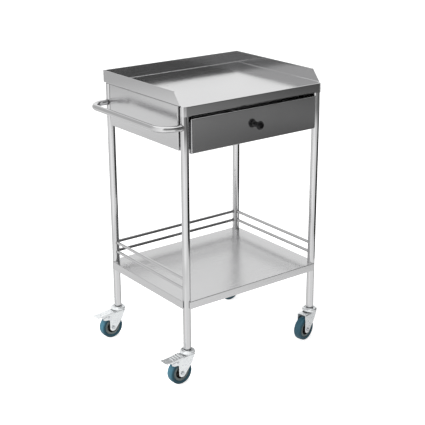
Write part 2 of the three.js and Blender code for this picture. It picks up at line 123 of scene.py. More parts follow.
def rounded_rectangle(half_x, half_y, radius, centre=(0, 0)):
    cx, cy = centre
    spots = [(cx + half_x, cy + half_y), (cx - half_x, cy + half_y)]
    spots += [(cx - half_x, cy - half_y), (cx + half_x, cy - half_y)]
    return rounded([(x, y, radius) for x, y in spots], closed=True)


# ---- Mesh building ----


def axis_frame(origin, direction):
    """A matrix whose origin is `origin` and whose Z runs along `direction`."""
    turn = Vector((0, 0, 1)).rotation_difference(Vector(direction))
    return Matrix.Translation(Vector(origin)) @ turn.to_matrix().to_4x4()


def face(mesh, verts):
    """A face from verts in order, leaving out repeated ones."""
    unique = [v for i, v in enumerate(verts) if v not in verts[:i]]
    if len(unique) > 2:
        mesh.faces.new(unique)


def bridge(mesh, lower, upper, closed=True):
    """Quads between two rows of verts."""
    count = max(len(lower), len(upper))
    for i in range(count if closed else count - 1):
        j = (i + 1) % count
        below = [lower[i % len(lower)], lower[j % len(lower)]]
        face(mesh, below + [upper[j % len(upper)], upper[i % len(upper)]])


def row(mesh, points, place=Matrix.Identity(4)):
    return [mesh.verts.new(place @ Vector(p)) for p in points]


def full_turn(segments):
    """Angles in equal steps round a circle."""
    return [2 * math.pi * i / segments for i in range(segments)]


def lathe(mesh, profile, place=Matrix.Identity(4), segments=64):
    """Revolves (radius, along) points about the Z axis of `place`."""
    rings = []
    for radius, along in profile:
        if radius < 1e-6:
            rings.append(row(mesh, [(0, 0, along)], place))
            continue
        ring = [(radius * math.cos(t), radius * math.sin(t), along) for t in full_turn(segments)]
        rings.append(row(mesh, ring, place))
    for lower, upper in zip(rings, rings[1:]):
        bridge(mesh, lower, upper)
    bmesh.ops.remove_doubles(mesh, verts=[v for ring in rings for v in ring], dist=1e-4)


def prism(mesh, outline, place, depth):
    """A closed flat outline in the XY plane of `place`, extruded along its Z."""
    lower = row(mesh, [(x, y, 0) for x, y in outline], place)
    upper = row(mesh, [(x, y, depth) for x, y in outline], place)
    bridge(mesh, lower, upper)
    face(mesh, lower[::-1])
    face(mesh, upper)


def filled(mesh, loops, place):
    """Flat faces inside an outer loop and outside its holes, drawn in the XY plane of `place`."""
    edges = []
    for loop in loops:
        verts = row(mesh, [(x, y, 0) for x, y in loop], place)
        edges += [mesh.edges.new((a, b)) for a, b in zip(verts, verts[1:] + verts[:1])]
    bmesh.ops.triangle_fill(mesh, use_beauty=True, edges=edges)


def orient(mesh, direction):
    """Turns an open sheet's faces so that its largest one looks along `direction`."""
    bmesh.ops.recalc_face_normals(mesh, faces=mesh.faces)
    largest = max(mesh.faces, key=lambda f: f.calc_area())
    if largest.normal.dot(Vector(direction)) < 0:
        bmesh.ops.reverse_faces(mesh, faces=mesh.faces)


def add_object(name, data):
    made = bpy.data.objects.new(name, data)
    bpy.context.collection.objects.link(made)
    return made


def mesh_object(name, mesh):
    """An object that holds the mesh; the mesh is used up."""
    data = bpy.data.meshes.new(name)
    mesh.to_mesh(data)
    mesh.free()
    return add_object(name, data)


def applied(body):
    """A mesh with the object's modifiers applied; the object is removed."""
    result = bmesh.new()
    result.from_object(body, bpy.context.evaluated_depsgraph_get())
    bpy.data.objects.remove(body)
    return result


def subtract(mesh, cutter):
    """The mesh with a closed cutter mesh taken out of it; both are used up."""
    body = mesh_object("cut_target", mesh)
    bmesh.ops.recalc_face_normals(cutter, faces=cutter.faces)
    tool = mesh_object("cutter", cutter)
    cut = body.modifiers.new("cut", "BOOLEAN")
    cut.operation = "DIFFERENCE"
    cut.object = tool
    result = applied(body)
    bpy.data.objects.remove(tool)
    return result


def thicken(body, sheet, folded=True):
    """Gives an open sheet its thickness, inwards from its faces."""
    solid = body.modifiers.new("sheet", "SOLIDIFY")
    solid.thickness = sheet
    solid.offset = -1
    solid.use_even_offset = folded


def thickened(mesh, sheet):
    """A closed mesh from an open sheet; the sheet is used up."""
    body = mesh_object("open_sheet", mesh)
    thicken(body, sheet)
    return applied(body)


def add_piece(mesh, node, *materials, sheet=0, eased=0, sharp=35, folded=True):
    """Makes the mesh a piece that stands for a CAD node. An open sheet is thickened inwards."""
    bmesh.ops.scale(mesh, vec=(MM, MM, MM), verts=mesh.verts)
    if not sheet:
        bmesh.ops.recalc_face_normals(mesh, faces=mesh.faces)
    piece = mesh_object(node + "_fine", mesh)
    for material in materials:
        piece.data.materials.append(material)
    piece.data.shade_smooth()
    piece.data.set_sharp_from_angle(angle=math.radians(sharp))
    if sheet:
        thicken(piece, sheet * MM, folded)
    if eased:
        ease = piece.modifiers.new("eased_edges", "BEVEL")
        ease.width = eased * MM
        ease.segments = 2
        ease.limit_method = "ANGLE"
        ease.angle_limit = math.radians(50)
    if sheet or eased:
        normals = piece.modifiers.new("normals", "WEIGHTED_NORMAL")
        normals.weight = 100
        normals.keep_sharp = True
    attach(piece, BODY_OF[node])
    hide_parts(node)


def turned_piece(node, profile, place, material, segments=64):
    """A piece revolved about the Z axis of `place`."""
    mesh = bmesh.new()
    lathe(mesh, profile, place, segments)
    add_piece(mesh, node, material)


# ---- Materials ----


class Nodes:
    """The node tree of a material or a world, with short calls that add nodes to it."""

    def __init__(self, owner):
        owner.use_nodes = True
        self.owner = owner
        self.tree = owner.node_tree

    def add(self, kind, inputs, **settings):
        """A node whose inputs hold values or other nodes' outputs."""
        node = self.tree.nodes.new("ShaderNode" + kind)
        for name, value in settings.items():
            setattr(node, name, value)
        for name, value in inputs.items():
            if isinstance(value, bpy.types.NodeSocket):
                self.tree.links.new(value, node.inputs[name])
            else:
                node.inputs[name].default_value = value
        return node

    def maths(self, operation, a, b):
        return self.add("Math", {0: a, 1: b}, operation=operation).outputs[0]

    def ranged(self, value, start, end, low=0.0, high=1.0):
        """`value` from start..end taken to low..high, and held there past its ends."""
        spans = {"From Min": start, "From Max": end, "To Min": low, "To Max": high}
        return self.add("MapRange", {"Value": value} | spans).outputs["Result"]


class Shader(Nodes):
    """A Principled material whose inputs follow noise."""

    def __init__(self, name, colour, roughness, metallic=0.0, gloss=0.5):
        super().__init__(bpy.data.materials.new(name))
        self.surface = self.tree.nodes["Principled BSDF"]
        self.surface.inputs["Base Color"].default_value = (*colour, 1)
        self.surface.inputs["Roughness"].default_value = roughness
        self.surface.inputs["Metallic"].default_value = metallic
        self.surface.inputs["Specular IOR Level"].default_value = gloss
        self.place = self.add("TexCoord", {}).outputs["Object"]

    def drive(self, name, value):
        self.tree.links.new(value, self.surface.inputs[name])

    def noise(self, scale, detail, stretch=(1, 1, 1), seed=0.0):
        """Noise from 0 to 1 with `scale` features per metre, times `stretch` on each axis."""
        shift = (seed, seed * 0.7, seed * 1.3)
        moved = self.add("Mapping", {"Vector": self.place, "Scale": stretch, "Location": shift})
        vector = moved.outputs["Vector"]
        return self.add("TexNoise", {"Vector": vector, "Scale": scale, "Detail": detail}).outputs["Fac"]

    def remap(self, value, low, high):
        """A noise value's middle range taken to low..high."""
        return self.ranged(value, 0.3, 0.7, low, high)

    def tint(self, value, low, high):
        """Base colour between two colours, by a noise value."""
        ramp = self.add("ValToRGB", {"Fac": value})
        for element, position, colour in zip(ramp.color_ramp.elements, (0.3, 0.7), (low, high)):
            element.position = position
            element.color = (*colour, 1)
        self.drive("Base Color", ramp.outputs["Color"])

    def paint_crevice_shade(self, reach, darkest):
        """Paints shade into the base colour: darkens it where other surfaces stand within `reach`
        millimetres.
        """
        openness = self.add("AmbientOcclusion", {"Distance": reach * MM}, samples=8).outputs["AO"]
        tinted = self.surface.inputs["Base Color"].links[0].from_socket
        scale = self.remap(openness, darkest, 1)
        # Painted shade: the colour is scaled down where ambient occlusion finds other surfaces close by.
        shade = self.add("VectorMath", {0: tinted, "Scale": scale}, operation="SCALE")
        self.drive("Base Color", shade.outputs[0])

    def bump(self, value, depth):
        """Raises the surface by up to `depth` millimetres."""
        node = self.add("Bump", {"Height": value, "Distance": depth * MM, "Strength": 1.0})
        self.drive("Normal", node.outputs["Normal"])


def scaled(colour, factor):
    return tuple(min(1.0, c * factor) for c in colour)


def brushed(name, colour, roughness, grain, spread=0.0):
    """Satin stainless steel brushed along the `grain` vector, which blurs reflections across the
    grain by `spread`."""
    shader = Shader(name, colour, roughness, metallic=1.0)
    stretch = [0.012 if abs(g) > 0.5 else 1 for g in grain]
    lines = shader.noise(900, 2, stretch=stretch)
    smudges = shader.noise(7, 3, seed=4.0)
    shader.tint(lines, scaled(colour, 0.97), scaled(colour, 1.03))
    lined = shader.remap(lines, roughness - 0.03, roughness + 0.03)
    shader.drive("Roughness", shader.maths("ADD", lined, shader.remap(smudges, -0.02, 0.02)))
    shader.bump(lines, 0.003)
    if spread:
        normal = shader.add("NewGeometry", {}).outputs["Normal"]
        across = shader.add("VectorMath", {0: normal, 1: grain}, operation="CROSS_PRODUCT")
        unit = shader.add("VectorMath", {0: across.outputs[0]}, operation="NORMALIZE")
        shader.drive("Tangent", unit.outputs[0])
        shader.surface.inputs["Anisotropic"].default_value = spread
    return shader.owner


def zinc_plate(name, colour, roughness, metallic=1.0):
    """Zinc on pressed steel: a faint mottle, a fine orange peel and painted shade in its crevices."""
    shader = Shader(name, colour, roughness, metallic)
    mottle = shader.noise(160, 4, seed=2.0)
    peel = shader.noise(700, 2, seed=5.0)
    shader.tint(mottle, scaled(colour, 0.9), scaled(colour, 1.06))
    # Painted shade: the zinc's colour darkens in creases and gaps.
    shader.paint_crevice_shade(7, 0.15)
    shader.drive("Roughness", shader.remap(mottle, roughness - 0.06, roughness + 0.08))
    shader.bump(peel, 0.02)
    return shader.owner


def moulded(name, colour, roughness, gloss=0.5):
    """Moulded plastic or rubber: slight colour variation, scuffs, a fine grain and painted shade in its
    crevices.
    """
    shader = Shader(name, colour, roughness, gloss=gloss)
    blotches = shader.noise(60, 3, seed=1.0)
    grain = shader.noise(1500, 2, seed=3.0)
    shader.tint(blotches, scaled(colour, 0.88), scaled(colour, 1.12))
    # Painted shade: the plastic's colour darkens in creases and gaps.
    shader.paint_crevice_shade(14, 0.2)
    shader.drive("Roughness", shader.remap(blotches, roughness - 0.08, roughness + 0.08))
    shader.bump(grain, 0.02)
    return shader.owner


STEEL = (0.63, 0.63, 0.635)
ALONG = {"x": (1, 0, 0.05), "y": (0, 1, 0.05), "z": (0.05, 0, 1)}
TUBE = {axis: brushed(f"tube_along_{axis}", STEEL, 0.1, ALONG[axis]) for axis in "yz"}
# Painted shade: the back rails' steel is the tube steel darkened to 62%.
SHADED_BACK_TUBE = brushed("dull_tube_along_x", scaled(STEEL, 0.62), 0.1, ALONG["x"])
PLATE = {axis: brushed(f"sheet_along_{axis}", STEEL, 0.17, ALONG[axis], 0.75) for axis in "xy"}
TRAY_STEEL = brushed("tray_sheet", STEEL, 0.13, ALONG["x"], 0.5)
SHELF_STEEL = brushed("shelf_sheet", STEEL, 0.24, ALONG["x"], 0.5)
WELD_BEAD = zinc_plate("weld_bead", (0.2, 0.19, 0.19), 0.42)
ZINC = zinc_plate("bright_zinc", (0.92, 0.945, 0.97), 0.3, 0.8)
GALVANISED = zinc_plate("galvanised_slides", (0.3, 0.3, 0.31), 0.35)
FASTENER = zinc_plate("zinc_fastener", (0.62, 0.64, 0.66), 0.34)
RUBBER = moulded("blue_grey_rubber", (0.055, 0.17, 0.235), 0.4, gloss=0.3)
RIM_GREY = moulded("grey_plastic", (0.42, 0.5, 0.5), 0.4, gloss=0.3)
# Dark plastic of the hub, also darkened to paint the shade in the wheel's recess.
HUB_DARK_AND_SHADE = moulded("dark_hub_plastic", (0.018, 0.013, 0.012), 0.5)
BLACK = moulded("black_plastic", (0.006, 0.006, 0.007), 0.16, gloss=0.25)


# ---- Tubes and rods ----


def leg(place):
    """A tube with eased ends, its top just under the tray's folds."""
    lo, hi = corners(f"leg_{place}")
    clearance, wall, ease = 2, 1.5, 0.4
    top = hi.z - clearance
    outer, inner = LEG_RADIUS, LEG_RADIUS - wall
    profile = [(inner, lo.z, ease), (outer, lo.z, ease), (outer, top, ease), (inner, top, ease)]
    path = rounded(profile, closed=True, step=30)
    foot = Matrix.Translation((LEG_AXES[place].x, LEG_AXES[place].y, 0))
    turned_piece(f"leg_{place}", path + path[:1], foot, TUBE["z"])


def weld_profile(radius):
    """(distance from the leg, radius) from inside the leg's wall out over a bead to the plain rod."""
    inside_wall = -0.6
    return [(inside_wall, radius + WELD)] + arc((0, radius), WELD, 90, 0, 6)


def coped_ring(mesh, start, direction, distance, radius):
    """A ring round a rod that leaves a leg's axis at `start`, each vert at `distance` from the leg's
    round surface."""
    side = Vector((-direction.y, direction.x, 0))
    ripple_depth, ripples = 0.015, 13
    points = []
    for turn in full_turn(ROD_SEGMENTS):
        ripple = 1 + ripple_depth * math.sin(ripples * turn) if distance < WELD else 1
        across = radius * ripple * math.cos(turn)
        reach = math.sqrt(LEG_RADIUS**2 - across**2) + distance
        up = Vector((0, 0, radius * ripple * math.sin(turn)))
        points.append(start + direction * reach + side * across + up)
    return row(mesh, points)


def plain_ring(mesh, centre, direction, radius):
    side = Vector((-direction.y, direction.x, 0)) * radius
    up = Vector((0, 0, radius))
    return row(mesh, [centre + side * math.cos(t) + up * math.sin(t) for t in full_turn(ROD_SEGMENTS)])


def welded_bar(node, path, radius, material):
    """A round bar along a level path from one leg's axis to another's, with a weld at each end."""
    mesh = bmesh.new()
    headings = [(b - a).normalized() for a, b in zip(path, path[1:])]
    rings = []
    bead = weld_profile(radius)
    for distance, ring in bead:
        rings.append(coped_ring(mesh, path[0], headings[0], distance, ring))
    for i in range(1, len(path) - 1):
        heading = (headings[i - 1] + headings[i]).normalized()
        rings.append(plain_ring(mesh, path[i], heading, radius))
    tail = []
    for distance, ring in bead:
        verts = coped_ring(mesh, path[-1], -headings[-1], distance, ring)
        half = len(verts) // 2
        tail.append([verts[(half - i) % len(verts)] for i in range(len(verts))])
    rings += tail[::-1]
    for i, (lower, upper) in enumerate(zip(rings, rings[1:])):
        before = len(mesh.faces)
        bridge(mesh, lower, upper)
        if not len(bead) - 1 <= i < len(rings) - len(bead):
            mesh.faces.ensure_lookup_table()
            for f in mesh.faces[before:]:
                f.material_index = 1
    face(mesh, rings[0][::-1])
    face(mesh, rings[-1])
    add_piece(mesh, node, material, WELD_BEAD)


def guard_rails():
    for level in ("low", "high"):
        for side, ends in (
            ("back", ("back_left", "back_right")),
            ("left", ("front_left", "back_left")),
            ("right", ("front_right", "back_right")),
        ):
            node = f"rail_{side}_{level}"
            height = middle(node).z
            radius = (corners(node)[1] - corners(node)[0]).z / 2
            path = [Vector((LEG_AXES[end].x, LEG_AXES[end].y, height)) for end in ends]
            # The back rails take the darkened tube steel, which paints their shade.
            welded_bar(node, path, radius, SHADED_BACK_TUBE if side == "back" else TUBE["y"])


def push_handle():
    lo, hi = corners("push_handle")
    radius = (hi.z - lo.z) / 2
    height = middle("push_handle").z
    front, back = LEG_AXES["front_left"], LEG_AXES["back_left"]
    outer = lo.x + radius
    bend = 52
    flat = [(front.x, front.y), (outer, front.y, bend), (outer, back.y, bend), (back.x, back.y)]
    path = [Vector((x, y, height)) for x, y in rounded(flat, step=5)]
    welded_bar("push_handle", path, radius, TUBE["y"])


# ---- Folded sheets ----


def hem(height, depth, layers_inward):
    """(out, up) points over a hem folded to the inside and down by `depth`.

    They follow the face that looks into the tray or box; `layers_inward` says that the sheet's
    thickness lies outside that face, so the fold is tight, and not inside it.
    """
    radius = HEM_GAP / 2 if layers_inward else SHEET + HEM_GAP / 2
    crest = height - SHEET - HEM_GAP / 2
    fold = arc((-radius, crest), radius, 0, 180, 8)
    return fold + [(-2 * radius, height - depth)]


def top_tray():
    """A folded sheet: floor, three hemmed upstands with sloped front ends, and a front apron that
    turns round both front legs. The mesh is its upper, inner face."""
    lo, hi = corners("top_tray")
    floor = MOUNTS["tray_floor"]["pos_m"][2] / MM
    left, right, back = lo.x + SHEET, hi.x - SHEET, hi.y - SHEET
    front_legs = LEG_AXES["front_left"], LEG_AXES["front_right"]
    front = front_legs[0].y
    inner_bend = BEND - SHEET
    slope_run, hem_depth = 33, 7
    notch = 0.8

    mesh = bmesh.new()
    crest = hi.z - SHEET - HEM_GAP / 2
    rise = arc((-inner_bend, floor + inner_bend), inner_bend, -90, 0, 4) + [(0, crest)]
    fold = hem(hi.z, hem_depth, True)[1:]

    def slope(z):
        return front + notch + (z - floor) / (hi.z - floor) * (slope_run - notch)

    def station(x, y, out_x, out_y):
        rising = [(x + out_x * u, slope(z) if y is None else y + out_y * u, z) for u, z in rise]
        ends = front + slope_run + 1
        folded = [(x + out_x * u, ends if y is None else y + out_y * u, z) for u, z in fold]
        return row(mesh, rising + folded)

    stations = [
        station(left, None, -1, 0),
        station(left, back, -1, 1),
        station(right, back, 1, 1),
        station(right, None, 1, 0),
    ]
    for one, other in zip(stations, stations[1:]):
        bridge(mesh, one, other, closed=False)

    reach = hi.x - front_legs[1].x
    bottom, lip_bend = lo.z, 4.5
    drop = arc((reach - BEND, floor - BEND), BEND, 90, 0, 6) + [(reach, bottom + lip_bend)]

    def column(x, y, degrees):
        turn = math.radians(degrees)
        return row(mesh, [(x + math.cos(turn) * r, y + math.sin(turn) * r, z) for r, z in drop])

    steps = 10
    first = math.degrees(notch / reach)
    turns = [first + (90 - first) * i / steps for i in range(steps + 1)]
    lip_ends = [axis.x + inset * (LEG_RADIUS + 1) for axis, inset in zip(front_legs, (1, -1))]
    columns = [column(front_legs[0].x, front, 180 + turn) for turn in turns]
    columns += [column(x, front, 270) for x in lip_ends]
    columns += [column(front_legs[1].x, front, 360 - turn) for turn in turns[::-1]]
    for one, other in zip(columns, columns[1:]):
        bridge(mesh, one, other, closed=False)

    # The apron's lower edge: folded back between the legs, cut plain round them.
    tips = row(mesh, [(c[-1].co.x, c[-1].co.y, bottom) for c in columns])
    for i in range(len(columns) - 1):
        if i != steps + 1:
            face(mesh, [columns[i][-1], columns[i + 1][-1], tips[i + 1], tips[i]])
    lip = arc((reach - lip_bend, bottom + lip_bend), lip_bend, 0, -90, 6)[1:] + [(reach - 9, bottom)]
    ends = []
    for column_of, x in zip(columns[steps + 1 : steps + 3], lip_ends):
        ends.append([column_of[-1]] + row(mesh, [(x, front - r, z) for r, z in lip]))
    bridge(mesh, ends[0], ends[1], closed=False)

    # The floor, bounded by the lowest verts of the folds round it.
    edge = [c[0] for c in columns] + [s[0] for s in stations[::-1]]
    face(mesh, edge)
    bmesh.ops.remove_doubles(mesh, verts=mesh.verts, dist=0.005)
    orient(mesh, (0, 0, 1))
    add_piece(mesh, "top_tray", TRAY_STEEL, sheet=SHEET, eased=EDGE)


def lower_shelf():
    """A sheet folded down along its four sides and cut away outside each leg's axis."""
    lo, hi = corners("lower_shelf")
    top = MOUNTS["shelf_floor"]["pos_m"][2] / MM
    bend, hole, end_radius = 2.0, LEG_RADIUS + 0.4, 5
    reach = hi.x - LEG_AXES["front_right"].x
    section = arc((reach - bend, top - bend), bend, 90, 0, 5)
    places = ("front_right", "back_right", "back_left", "front_left")
    outwards = (Vector((1, 0, 0)), Vector((0, 1, 0)), Vector((-1, 0, 0)), Vector((0, -1, 0)))
    mesh = bmesh.new()
    floor = []
    for i, outward in enumerate(outwards):
        start = LEG_AXES[places[i]].xy.to_3d()
        end = LEG_AXES[places[(i + 1) % 4]].xy.to_3d()
        up = Vector((0, 0, 1))
        folds = [row(mesh, [p + outward * r + up * z for r, z in section]) for p in (start, end)]
        bridge(mesh, folds[0], folds[1], closed=False)
        length = (end - start).length
        spots = [(0, top - bend), (0, lo.z, end_radius)]
        spots += [(length, lo.z, end_radius), (length, top - bend)]
        along = (end - start).normalized()
        edge = [start + outward * reach + along * s + up * z for s, z in rounded(spots)[1:-1]]
        face(mesh, [folds[0][-1]] + row(mesh, edge) + [folds[1][-1]])
        notch = arc(end, hole, 90 * i, 90 * i - 270, 36)
        floor += [folds[0][0], folds[1][0]] + row(mesh, [(x, y, top) for x, y in notch])
    face(mesh, floor)
    orient(mesh, (0, 0, 1))
    add_piece(mesh, "lower_shelf", SHELF_STEEL, sheet=SHEET, eased=EDGE)


def pan(mesh, place, half_a, half_b, sections):
    """A flat rectangle in the XY plane of `place` with folds down from its sides.

    `sections` gives the (out, up) points of the folds on the +X, +Y, -X and -Y sides, or None.
    All sections start at the same inset from the outline.
    """
    inset = -next(s for s in sections if s)[0][0]
    turns = ((1, 0), (0, 1), (-1, 0), (0, -1))
    folded = [inset if s else 0 for s in sections]
    flat = []
    for sa, sb, side_a, side_b in ((1, -1, 0, 3), (1, 1, 0, 1), (-1, 1, 2, 1), (-1, -1, 2, 3)):
        flat.append((sa * (half_a - folded[side_a]), sb * (half_b - folded[side_b]), 0))
    face(mesh, row(mesh, flat, place))
    for i, section in enumerate(sections):
        if not section:
            continue
        ax, ay = turns[i]
        strips = []
        for neighbour in (i - 1, (i + 1) % 4):
            nx, ny = turns[neighbour]
            strip = []
            for out, up in section:
                along = out if sections[neighbour] else 0
                x = ax * (half_a + out) + nx * (half_a + along)
                y = ay * (half_b + out) + ny * (half_b + along)
                strip.append((x, y, up))
            strips.append(row(mesh, strip, place))
        bridge(mesh, strips[0], strips[1], closed=False)
    bmesh.ops.remove_doubles(mesh, verts=mesh.verts, dist=0.005)


def fold_down(depth):
    """(out, up) points of a fold and its flange, seen from outside."""
    return arc((-BEND, -BEND), BEND, 90, 0, 5) + [(0, -depth)]


def local_plane(centre, across, up):
    """A matrix with X along `across`, Y along `up` and Z out of the sheet's face."""
    x, y = Vector(across), Vector(up)
    turn = Matrix((x, y, x.cross(y))).transposed().to_4x4()
    return Matrix.Translation(centre) @ turn


def housing():
    flange = 12
    for side, across in (("left", (0, -1, 0)), ("right", (0, 1, 0))):
        node = f"housing_side_{side}"
        lo, hi = corners(node)
        outside = lo.x if side == "left" else hi.x
        place = local_plane(Vector((outside, middle(node).y, middle(node).z)), across, (0, 0, 1))
        mesh = bmesh.new()
        pan(mesh, place, (hi.y - lo.y) / 2, (hi.z - lo.z) / 2, [fold_down(flange)] * 4)
        orient(mesh, (-1 if side == "left" else 1, 0, 0))
        add_piece(mesh, node, PLATE["y"], sheet=SHEET, eased=EDGE)
    lo, hi = corners("housing_back")
    centre = Vector((middle("housing_back").x, hi.y, middle("housing_back").z))
    place = local_plane(centre, (-1, 0, 0), (0, 0, 1))
    mesh = bmesh.new()
    sections = [None, fold_down(flange)] * 2
    pan(mesh, place, (hi.x - lo.x) / 2, (hi.z - lo.z) / 2, sections)
    orient(mesh, (0, 1, 0))
    add_piece(mesh, "housing_back", PLATE["x"], sheet=SHEET, eased=EDGE)


def slide_brackets():
    """Upright plates between the legs, with slots for adjusting the slides."""
    for side in ("left", "right"):
        node = f"slide_bracket_{side}"
        lo, hi = corners(node)
        centre = (lo + hi) / 2
        inward = 1 if side == "left" else -1
        face_x = hi.x if side == "left" else lo.x
        place = local_plane(Vector((face_x, centre.y, centre.z)), (0, inward, 0), (0, 0, 1))
        half_y, half_z = (hi.y - lo.y) / 2, (hi.z - lo.z) / 2
        half_slot, slot_radius, slot_inset = 7, 2.2, 9
        loops = [rounded_rectangle(half_y, half_z, 3)]
        for spot in (-0.78, -0.26, 0.26, 0.78):
            for height in (half_z - slot_inset, slot_inset - half_z):
                slot = rounded_rectangle(half_slot, slot_radius, slot_radius, (spot * half_y, height))
                loops.append(slot)
        mesh = bmesh.new()
        filled(mesh, loops, place)
        orient(mesh, (inward, 0, 0))
        add_piece(mesh, node, GALVANISED, sheet=hi.x - lo.x, eased=EDGE, folded=False)


def slides():
    """Each slide member is a channel with rounded lips, its hollow facing its partner."""
    for kind, opens in (("fixed", 1), ("moving", -1)):
        for side, sign in (("left", 1), ("right", -1)):
            node = f"slide_{kind}_{side}"
            lo, hi = corners(node)
            inward = sign * opens
            web, lip = (lo.x, hi.x) if inward > 0 else (hi.x, lo.x)
            centre_z = (lo.z + hi.z) / 2
            half = (hi.z - lo.z) / 2
            bend = 2.2
            section = rounded([(lip, half), (web, half, bend), (web, -half, bend), (lip, -half)], step=18)
            mesh = bmesh.new()
            ends = [row(mesh, [(x, y, centre_z + z) for x, z in section]) for y in (lo.y, hi.y)]
            bridge(mesh, ends[0], ends[1], closed=False)
            orient(mesh, (-inward, 0, 0))
            add_piece(mesh, node, GALVANISED, sheet=1.2, eased=0.2)


# ---- Drawer ----


def drawer():
    lo, hi = corners("drawer_front")
    centre = Vector((middle("drawer_front").x, lo.y, middle("drawer_front").z))
    mesh = bmesh.new()
    place = local_plane(centre, (1, 0, 0), (0, 0, 1))
    pan(mesh, place, (hi.x - lo.x) / 2, (hi.z - lo.z) / 2, [fold_down(hi.y - lo.y)] * 4)
    orient(mesh, (0, -1, 0))
    add_piece(mesh, "drawer_front", PLATE["x"], sheet=SHEET, eased=EDGE)

    lo, hi = corners("drawer_box")
    centre = (lo + hi) / 2
    height = hi.z - lo.z
    walls = arc((-BEND, BEND), BEND, -90, 0, 5) + hem(height, 6, False)
    place = Matrix.Translation((centre.x, centre.y, lo.z))
    mesh = bmesh.new()
    pan(mesh, place, (hi.x - lo.x) / 2, (hi.y - lo.y) / 2, [walls] * 4)
    orient(mesh, (0, 0, -1))
    add_piece(mesh, "drawer_box", PLATE["y"], sheet=SHEET, eased=EDGE)

    lo, hi = corners("drawer_knob")
    head = (hi.x - lo.x) / 2
    reach = hi.y - lo.y
    neck, base, hole, hole_depth = 6, 8.5, 2.4, 12
    grip = [(0, reach), (head * 0.62, reach - 0.6, 6), (head, reach - 5.5, 4), (head, reach - 9.5, 3)]
    stem = [(neck, reach - 14.5, 5), (neck, 4, 2.5), (base, 2.6, 0.8), (base, 0, 0.4)]
    profile = rounded(grip + stem + [(hole, 0), (hole, hole_depth), (0, hole_depth)])
    axis = middle("drawer_knob")
    turned_piece("drawer_knob", profile, axis_frame((axis.x, hi.y, axis.z), (0, -1, 0)), BLACK)

    lo, hi = corners("knob_screw")
    axis = middle("knob_screw")
    length = hi.y - lo.y
    head = [(0, 0.9), (1.6, 0.9), (1.9, 0, 0.3), (4.3, 0, 1.2), (4.5, 2.4, 0.3), (2, 2.5)]
    profile = rounded(head + [(2, length - 0.6), (1.5, length), (0, length)])
    turned_piece("knob_screw", profile, axis_frame((axis.x, hi.y, axis.z), (0, -1, 0)), FASTENER, 32)


# ---- Castors ----


def castor_frame(place):
    """The castor's own frame: origin on the floor under the swivel, trailing towards -X."""
    swivel = Vector(JOINTS[f"castor_{place}_swivel"]["pos_m"]) / MM
    axle = Vector(JOINTS[f"wheel_{place}_spin"]["pos_m"]) / MM
    trail = axle - swivel
    turn = math.atan2(-trail.y, -trail.x)
    return Matrix.Translation((swivel.x, swivel.y, 0)) @ Matrix.Rotation(turn, 4, "Z")


def arm_outline(braked):
    """One fork arm in XZ, from the top of its front edge round its tip to the top of its rear."""
    axle = Vector((AXLE["x"], AXLE["z"]))
    tip = FORK["tip"]
    knee = Vector((7.5, 70.4))
    arm = knee - axle
    tangent = math.degrees(math.atan2(arm.y, arm.x) - math.acos(tip / arm.length))
    top = FORK["top"] - FORK["bend"]
    below_knee = (-12.8, 39.5)
    front = rounded([(FORK["lead"], top), (FORK["lead"] - 2, 90, 6), (*knee, 20), below_knee])[:-1]
    rear_x = AXLE["x"] - tip
    if braked:
        rear = [(rear_x, 65), (rear_x, 71.5, 6), (-62, 72.5, 3), (-73.5, 78.5, 2)]
        rear += [(-64, 84, 4), (-32, 90.9, 6), (-23.5, top)]
    else:
        rear = [(rear_x, 64), (rear_x, top)]
    return front + arc(axle, tip, tangent, -180, 16) + rounded(rear)


def fork(place, braked):
    """A pressed sheet: two arms folded down from a crown, with a raised ball race on top."""
    node = f"castor_fork_{place}"
    frame_of = castor_frame(place)
    mesh = bmesh.new()
    bend, top, half = FORK["bend"], FORK["top"], FORK["half_width"]
    outline = arm_outline(braked)
    sides = []
    for side in (-1, 1):
        arm = row(mesh, [(x, side * half, z) for x, z in outline], frame_of)
        face(mesh, arm)
        section = arc((half - bend, top - bend), bend, 0, 90, 6)[1:]
        ends = []
        for vert, (x, _) in ((arm[0], outline[0]), (arm[-1], outline[-1])):
            ends.append([vert] + row(mesh, [(x, side * y, z) for y, z in section], frame_of))
        bridge(mesh, ends[0], ends[1], closed=False)
        sides.append((ends[0][-1], ends[1][-1]))
    (front_a, rear_a), (front_b, rear_b) = sides
    rear_x = outline[-1][0]
    bow = []
    if not braked:
        width, bow_depth = half - bend, 5
        spots = [width * (1 - i / 6) for i in range(1, 12)]
        bow = row(mesh, [(rear_x + bow_depth * (1 - (y / width) ** 2), y, top) for y in spots], frame_of)
    face(mesh, [front_a, front_b, rear_b] + bow + [rear_a])
    outward = frame_of.to_3x3() @ Vector((0, -1, 0))
    orient(mesh, outward)
    crown = max(mesh.faces, key=lambda f: f.normal.z if abs(f.normal.dot(outward)) < 0.1 else -1)
    if crown.normal.z < 0.5:
        bmesh.ops.reverse_faces(mesh, faces=mesh.faces)
    mesh = thickened(mesh, FORK["sheet"])
    bore, race, rise = 5.3, 22, top + 2.4
    ring = [(bore, top - 1), (race, top - 1, 0.3), (race, top + 0.8, 0.8), (race - 2.5, rise, 1.5)]
    lathe(mesh, rounded(ring + [(bore, rise), (bore, top - 1)]), frame_of)
    add_piece(mesh, node, ZINC, eased=0.5)


def hexagon_head(mesh, place, height):
    """A hexagon from 0 to `height` with its far corners turned off at 30 degrees."""
    flat = AXLE["hex"] * math.cos(math.pi / 6)
    top = flat * 0.97
    base, shoulder, crown = [], [], []
    for turn in full_turn(48):
        reach = flat / math.cos((turn % (math.pi / 3)) - math.pi / 6)
        drop = (reach - top) * math.tan(math.radians(30))
        base.append((reach * math.cos(turn), reach * math.sin(turn), 0))
        shoulder.append((reach * math.cos(turn), reach * math.sin(turn), height - drop))
        crown.append((top * math.cos(turn), top * math.sin(turn), height))
    rows = [row(mesh, ring, place) for ring in (base, shoulder, crown)]
    bridge(mesh, rows[0], rows[1])
    bridge(mesh, rows[1], rows[2])
    face(mesh, rows[0][::-1])
    face(mesh, rows[2])


